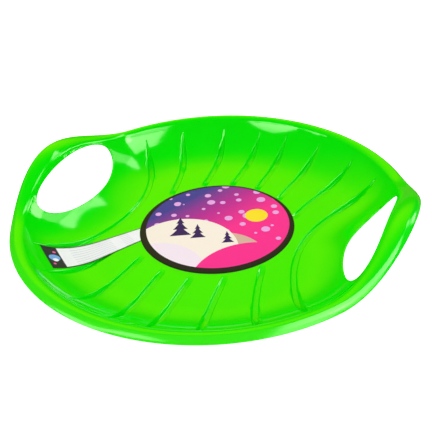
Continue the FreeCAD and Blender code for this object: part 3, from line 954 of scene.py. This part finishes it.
# %% Plan of the strip label
STRIP_BEARING, STRIP_HEADING = math.radians(211.6), math.radians(235.5)
STRIP_INNER, STRIP_OUTER, STRIP_RIM_GAP = 30.0, 52.0, 24.0
STRIP_GAP, STRIP_GLUE = 0.3, 0.15
strip_out = np.array([math.cos(STRIP_BEARING), math.sin(STRIP_BEARING)])
strip_start = np.array(LABEL_SHIFT) + LABEL_RADIUS * strip_out
strip_ahead = np.array([math.cos(STRIP_HEADING), math.sin(STRIP_HEADING)])
strip_across = np.array([-strip_ahead[1], strip_ahead[0]])
strip_reach = RIM_RADIUS - RIM_WIDTH - STRIP_RIM_GAP
along = float(strip_start @ strip_ahead)
strip_length = math.sqrt(along ** 2 + strip_reach ** 2 - float(strip_start @ strip_start)) - along


def strip_plan(share, side):
    half = 0.5 * (STRIP_INNER + (STRIP_OUTER - STRIP_INNER) * share)
    return strip_start + share * strip_length * strip_ahead + side * half * strip_across


def strip_inner_end(side):
    """Share of the length at which this line of the strip comes clear of the round label."""
    low, high = -0.2, 0.5
    for _ in range(40):
        middle = 0.5 * (low + high)
        if np.linalg.norm(strip_plan(middle, side) - LABEL_SHIFT) < LABEL_RADIUS + STRIP_GAP:
            low = middle
        else:
            high = middle
    return high


print("strip label", round(strip_length, 1), "mm long in plan")

# %% Lay the strip label
STRIP_ROWS, STRIP_COLUMNS = 72, 19
STRIP_SHARP = math.radians(40)


def strip_faces(rows, columns):
    """Faces of an upper and a lower sheet, and of the edge between them."""
    layer = rows * columns
    faces = []
    for i in range(rows - 1):
        for j in range(columns - 1):
            a, b = i * columns + j, i * columns + j + 1
            faces.append([a, a + columns, b + columns, b])
            faces.append([layer + a, layer + b, layer + b + columns, layer + a + columns])
    border = list(range(columns)) + [i * columns + columns - 1 for i in range(1, rows)]
    border += [(rows - 1) * columns + j for j in range(columns - 2, -1, -1)]
    border += [i * columns for i in range(rows - 2, 0, -1)]
    for a, b in zip(border, border[1:] + border[:1]):
        faces.append([a, b, layer + b, layer + a])
    return faces


def make_strip(name):
    points, spots = [], []
    sides = [(side, strip_inner_end(side)) for side in np.linspace(-1.0, 1.0, STRIP_COLUMNS)]
    for offset in (STRIP_GLUE + LABEL_PAPER, STRIP_GLUE):
        for share in np.linspace(0.0, 1.0, STRIP_ROWS):
            for side, first in sides:
                at = first + (1 - first) * share
                x, y = strip_plan(at, side)
                points.append((x * MM, y * MM, float(wall_height(x, y, -offset)) * MM))
                spots.append((at, 0.5 + 0.5 * side))
    mesh = bpy.data.meshes.new(name)
    mesh.from_pydata(points, [], strip_faces(STRIP_ROWS, STRIP_COLUMNS))
    turned = bmesh.new()
    turned.from_mesh(mesh)
    bmesh.ops.recalc_face_normals(turned, faces=turned.faces)
    turned.to_mesh(mesh)
    turned.free()
    smooth(mesh)
    mesh.set_sharp_from_angle(angle=STRIP_SHARP)
    add_flat_map(mesh, "print", np.array(spots))
    return add_piece(name, mesh)


strip = make_strip("strip_label_paper")
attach(strip, "root")
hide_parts("strip_label")
print("strip label:", len(strip.data.vertices), "points")

# %% [markdown]
# ## Print on the strip label
# The strip is plain white paper with a fine dark line along both long edges and a dark end panel.
# The panel holds a small snow scene of dots, and faint grey rules fill the middle, as on any blank
# form.

# %% Inks and motifs of the strip, in shares of its length and width
PAPER, PAPER_SHADE, RULE_GREY = srgb(252, 250, 253), srgb(244, 242, 245), srgb(222, 222, 228)
PANEL_INK, EDGE_INK, DOT_PINK = srgb(40, 40, 52), srgb(40, 38, 38), srgb(250, 90, 170)
DOT_BLUE, DOT_WHITE = srgb(120, 170, 235), srgb(250, 250, 255)
RULE_SPANS, RULE_SHIFT, RULE_PITCH, RULE_WIDTH = ((0.30, 0.74), (0.10, 0.20)), 0.05, 0.06, 0.018
PANEL_START, EDGE_START, STRIP_SLIM = 0.86, 0.455, 0.36
PAPER_ROUGH = (0.42, 0.55)
DOTS = ((DOT_BLUE, 0.925, 0.50, 0.052), (DOT_WHITE, 0.925, 0.60, 0.026),
        (DOT_PINK, 0.90, 0.24, 0.016), (DOT_PINK, 0.955, 0.78, 0.014))
print(len(RULE_SPANS), "blocks of rules and", len(DOTS), "dots")

# %% Paper of the strip
paper, tree, bsdf = new_material("strip_paper")
_, surface = place_grain(tree, wave_scale=60.0, grain_scale=3000.0, grain_share=0.5)
flat = add_node(tree, "ShaderNodeUVMap", uv_map="print").outputs[0]
split = add_node(tree, "ShaderNodeSeparateXYZ", {0: flat})
share, side = split.outputs["X"], split.outputs["Y"]
colour = lay_over(tree, PAPER, PAPER_SHADE, surface["Mottle"])
rule = calc(tree, "PINGPONG", calc(tree, "ADD", side, RULE_SHIFT), RULE_PITCH)
rule = calc(tree, "LESS_THAN", rule, RULE_WIDTH)
for start, end in RULE_SPANS:
    span = calc(tree, "MULTIPLY", calc(tree, "GREATER_THAN", share, start),
                calc(tree, "LESS_THAN", share, end))
    colour = lay_over(tree, colour, RULE_GREY, calc(tree, "MULTIPLY", rule, span))
colour = lay_over(tree, colour, PANEL_INK, calc(tree, "GREATER_THAN", share, PANEL_START))
even_map = vector_calc(tree, "MULTIPLY", flat, (1.0, STRIP_SLIM, 1.0))
for ink, dot_share, dot_side, dot_size in DOTS:
    out_way = vector_calc(tree, "DISTANCE", even_map, (dot_share, dot_side * STRIP_SLIM, 0.0))
    colour = lay_over(tree, colour, ink, calc(tree, "LESS_THAN", out_way, dot_size))
off_middle = calc(tree, "ABSOLUTE", calc(tree, "SUBTRACT", side, 0.5))
colour = lay_over(tree, colour, EDGE_INK, calc(tree, "GREATER_THAN", off_middle, EDGE_START))
gloss = fade(tree, surface["Mottle"], 0.0, 1.0, *PAPER_ROUGH)
wire_finish(tree, bsdf, colour, gloss, surface["Height"], strength=0.25, distance=0.0002)
bsdf.inputs["Specular IOR Level"].default_value = 0.25
strip.data.materials.append(paper)
print("paper with", len(tree.nodes), "nodes")

# %% [markdown]
# ## Camera
# The camera looks down on the sled from a short way off, so the near rim is drawn larger than the
# far one. Its axes are worked out from three angles, which is easier to adjust than a matrix, and a
# small shift of the lens sets the sled in the frame without turning the camera.

# %% Camera
CAM_ELEVATION, CAM_ROLL = math.radians(34.61), math.radians(-4.20)
CAM_DISTANCE, CAM_SCALE, CAM_CENTRE = 961.0, 0.6787, (213.4, 227.2)
FRAME_PIXELS, SENSOR = 432, 36.0


def make_camera():
    cos_e, sin_e = math.cos(CAM_ELEVATION), math.sin(CAM_ELEVATION)
    back = Vector((math.sin(VIEW_TURN) * cos_e, -math.cos(VIEW_TURN) * cos_e, sin_e))
    level = Vector((math.cos(VIEW_TURN), math.sin(VIEW_TURN), 0.0))
    upright = back.cross(level)
    right = math.cos(CAM_ROLL) * level + math.sin(CAM_ROLL) * upright
    up = back.cross(right)
    place = back * CAM_DISTANCE * MM + Vector((0, 0, FLOOR_TOP * MM))
    data = bpy.data.cameras.new("studio_camera")
    data.sensor_width = SENSOR
    data.lens = CAM_SCALE * CAM_DISTANCE * SENSOR / FRAME_PIXELS
    data.shift_x = -(CAM_CENTRE[0] - FRAME_PIXELS / 2) / FRAME_PIXELS
    data.shift_y = (CAM_CENTRE[1] - FRAME_PIXELS / 2) / FRAME_PIXELS
    data.clip_start = 0.01
    camera = bpy.data.objects.new("studio_camera", data)
    rows = [list(row) for row in zip(right, up, back, place)]
    camera.matrix_world = Matrix(rows + [[0, 0, 0, 1]])
    bpy.context.collection.objects.link(camera)
    bpy.context.scene.camera = camera
    return camera


camera = make_camera()
print("lens of", round(camera.data.lens, 1), "mm")

# %% [markdown]
# ## Studio
# The sled stands on a bright white table in a dim room: a pale backdrop behind it, and window
# lights around it. Gloss shows what it reflects, so the place and shape of each light matter more
# than its strength. The table glows a little, as a light table does, and keeps the ground free of
# shadows. In reflections it is dim, so that the undersides of the rim stay green.

# %% Table
TABLE_HALF, TABLE_DROP = 6.0, 0.0005
TABLE_WHITE, TABLE_MIRRORED = (0.8, 0.8, 0.8, 1.0), (0.14, 0.18, 0.0, 1.0)
TABLE_GLOW, SEEN_GLOW = 0.3, 0.8
table_mesh = bpy.data.meshes.new("table")
table_corners = [(x * TABLE_HALF, y * TABLE_HALF, -TABLE_DROP)
                 for x, y in ((-1, -1), (1, -1), (1, 1), (-1, 1))]
table_mesh.from_pydata(table_corners, [], [[0, 1, 2, 3]])
table = add_piece("table", table_mesh)
white, tree, bsdf = new_material("light_table")
bsdf.inputs["Roughness"].default_value = 0.6
bsdf.inputs["Emission Color"].default_value = (1.0, 1.0, 1.0, 1.0)
seen = add_node(tree, "ShaderNodeLightPath")
mirrored = seen.outputs["Is Glossy Ray"]
glow = calc(tree, "MULTIPLY_ADD", seen.outputs["Is Camera Ray"], SEEN_GLOW, TABLE_GLOW)
glow = calc(tree, "MULTIPLY_ADD", mirrored, -TABLE_GLOW, glow)
colour = lay_over(tree, TABLE_WHITE, TABLE_MIRRORED, mirrored)
tree.links.new(colour, bsdf.inputs["Base Color"])
tree.links.new(glow, bsdf.inputs["Emission Strength"])
table_mesh.materials.append(white)
print("table", 2 * TABLE_HALF, "m wide")

# %% [markdown]
# ## Room and windows
# A soft, even light from all round gives the plastic its clean colour. What makes it look glossy is
# the room in the reflections: a pale backdrop behind the sled, and bright windows with dark walls
# between them. Both live in the world shader, and the light path tells it which kind of ray
# asks: reflections see the room, everything else sees the even light.

# %% Window shapes
WINDOW_SOFT, HOT_EDGE = 0.012, math.cos(math.radians(40))


def towards(turn, height):
    """Unit vector for a turn from +Y towards +X and a height above the table, in degrees."""
    turn, height = math.radians(turn), math.radians(height)
    level = math.cos(height)
    return Vector((math.sin(turn) * level, math.cos(turn) * level, math.sin(height)))


def window(tree, way, corners, hot, strong, weak):
    """Brightness of a four-sided window, strongest near its hot point."""
    corners = [towards(*corner) for corner in corners]
    middle = sum(corners, Vector()).normalized()
    mask = None
    for first, second in zip(corners, corners[1:] + corners[:1]):
        inward = first.cross(second).normalized()
        if inward.dot(middle) < 0:
            inward = -inward
        off = vector_calc(tree, "DOT_PRODUCT", way, inward)
        inside = fade(tree, off, 0.0, WINDOW_SOFT, interpolation_type="SMOOTHSTEP")
        mask = inside if mask is None else calc(tree, "MULTIPLY", mask, inside)
    near = vector_calc(tree, "DOT_PRODUCT", way, towards(*hot))
    return calc(tree, "MULTIPLY", mask, fade(tree, near, HOT_EDGE, 1.0, weak, strong))


print("straight ahead is", tuple(towards(0, 0)))

# %% Lights of the room, directions in degrees
BACKDROP_TURNS = ((-102, 0.0), (-80, 0.24), (-60, 0.5), (-46, 0.85), (-35, 1.0), (-20, 0.85),
                  (-6, 0.6), (6, 0.1), (16, 0.0))
BACKDROP_HEIGHTS = ((0, 0.1), (12, 0.15), (20, 0.6), (29, 1.0), (44, 0.95), (52, 0.5),
                    (58, 0.4), (64, 0.15), (70, 0.03))
BACKDROP_LIGHT = 1.35
BACKDROP_TINT, WINDOW_TINT = (1.0, 1.0, 0.0), (1.0, 1.0, 0.80)
WINDOWS = [  # four corners, the hot point, and the brightness near it and far from it
    ([(29, 12), (47, 13), (45, 30), (28, 30)], (36, 24), 7.0, 4.5),
    ([(30, 30), (45, 30), (36, 55), (20, 46)], (34, 36), 2.6, 2.2),
    ([(36, 55), (20, 46), (-6, 51), (18, 58)], (20, 54), 5.0, 4.0),
    ([(40, 61), (88, 69), (124, 42), (82, 32)], (84, 36), 7.5, 3.5),
    ([(80, 33), (94, 34), (86, 44), (72, 43)], (86, 36), 6.0, 4.0),
    ([(84, 32), (124, 42), (134, 20), (104, 14)], (110, 28), 4.0, 3.0),
    ([(-178, 36), (-141, 26), (-147, 55), (-162, 51)], (-158, 22), 8.2, 0.0),
    ([(-150, 30), (-128, 30), (-114, 14), (-146, 12)], (-135, 22), 4.8, 4.0),
]
print(len(WINDOWS), "windows")

# %% Room in the reflections
world = bpy.data.worlds.new("studio_room")
bpy.context.scene.world = world
world.use_nodes = True
tree = world.node_tree
way = add_node(tree, "ShaderNodeTexCoord").outputs["Generated"]
split = add_node(tree, "ShaderNodeSeparateXYZ", {0: way})
turn = calc(tree, "ARCTAN2", split.outputs["X"], split.outputs["Y"])
turn = calc(tree, "MULTIPLY_ADD", turn, 0.5 / math.pi, 0.5)
turn_stops = [(0.5 + degrees / 360, (bright, bright, bright, 1.0))
              for degrees, bright in BACKDROP_TURNS]
height_stops = [(math.sin(math.radians(degrees)), (bright, bright, bright, 1.0))
                for degrees, bright in BACKDROP_HEIGHTS]
backdrop = calc(tree, "MULTIPLY", ramp(tree, turn, turn_stops),
                ramp(tree, split.outputs["Z"], height_stops))
backdrop = calc(tree, "MULTIPLY", backdrop, BACKDROP_LIGHT)
panes = 0.0
for corners, hot, strong, weak in WINDOWS:
    panes = calc(tree, "ADD", panes, window(tree, way, corners, hot, strong, weak))
tinted = [add_node(tree, "ShaderNodeVectorMath", {0: tint, "Scale": level}, operation="SCALE")
          for tint, level in ((BACKDROP_TINT, backdrop), (WINDOW_TINT, panes))]
room = vector_calc(tree, "ADD", *[node.outputs["Vector"] for node in tinted])
print("room with", len(tree.nodes), "nodes")

# %% Even light for everything else
reflected = tree.nodes["Background"]
tree.links.new(room, reflected.inputs["Color"])
even = add_node(tree, "ShaderNodeBackground", {"Color": (1.0, 1.0, 1.0, 1.0), "Strength": 1.0})
asking = add_node(tree, "ShaderNodeLightPath").outputs["Is Glossy Ray"]
choose = add_node(tree, "ShaderNodeMixShader", {
    0: asking, 1: even.outputs[0], 2: reflected.outputs[0]})
tree.links.new(choose.outputs[0], tree.nodes["World Output"].inputs["Surface"])
print("world", world.name, "is lit")

# %% [markdown]
# ## Colour
# The picture is developed without a film look, so colours stay as the shaders give them.

# %% Develop the picture
bpy.context.scene.view_settings.view_transform = "Standard"
print("view transform:", bpy.context.scene.view_settings.view_transform)
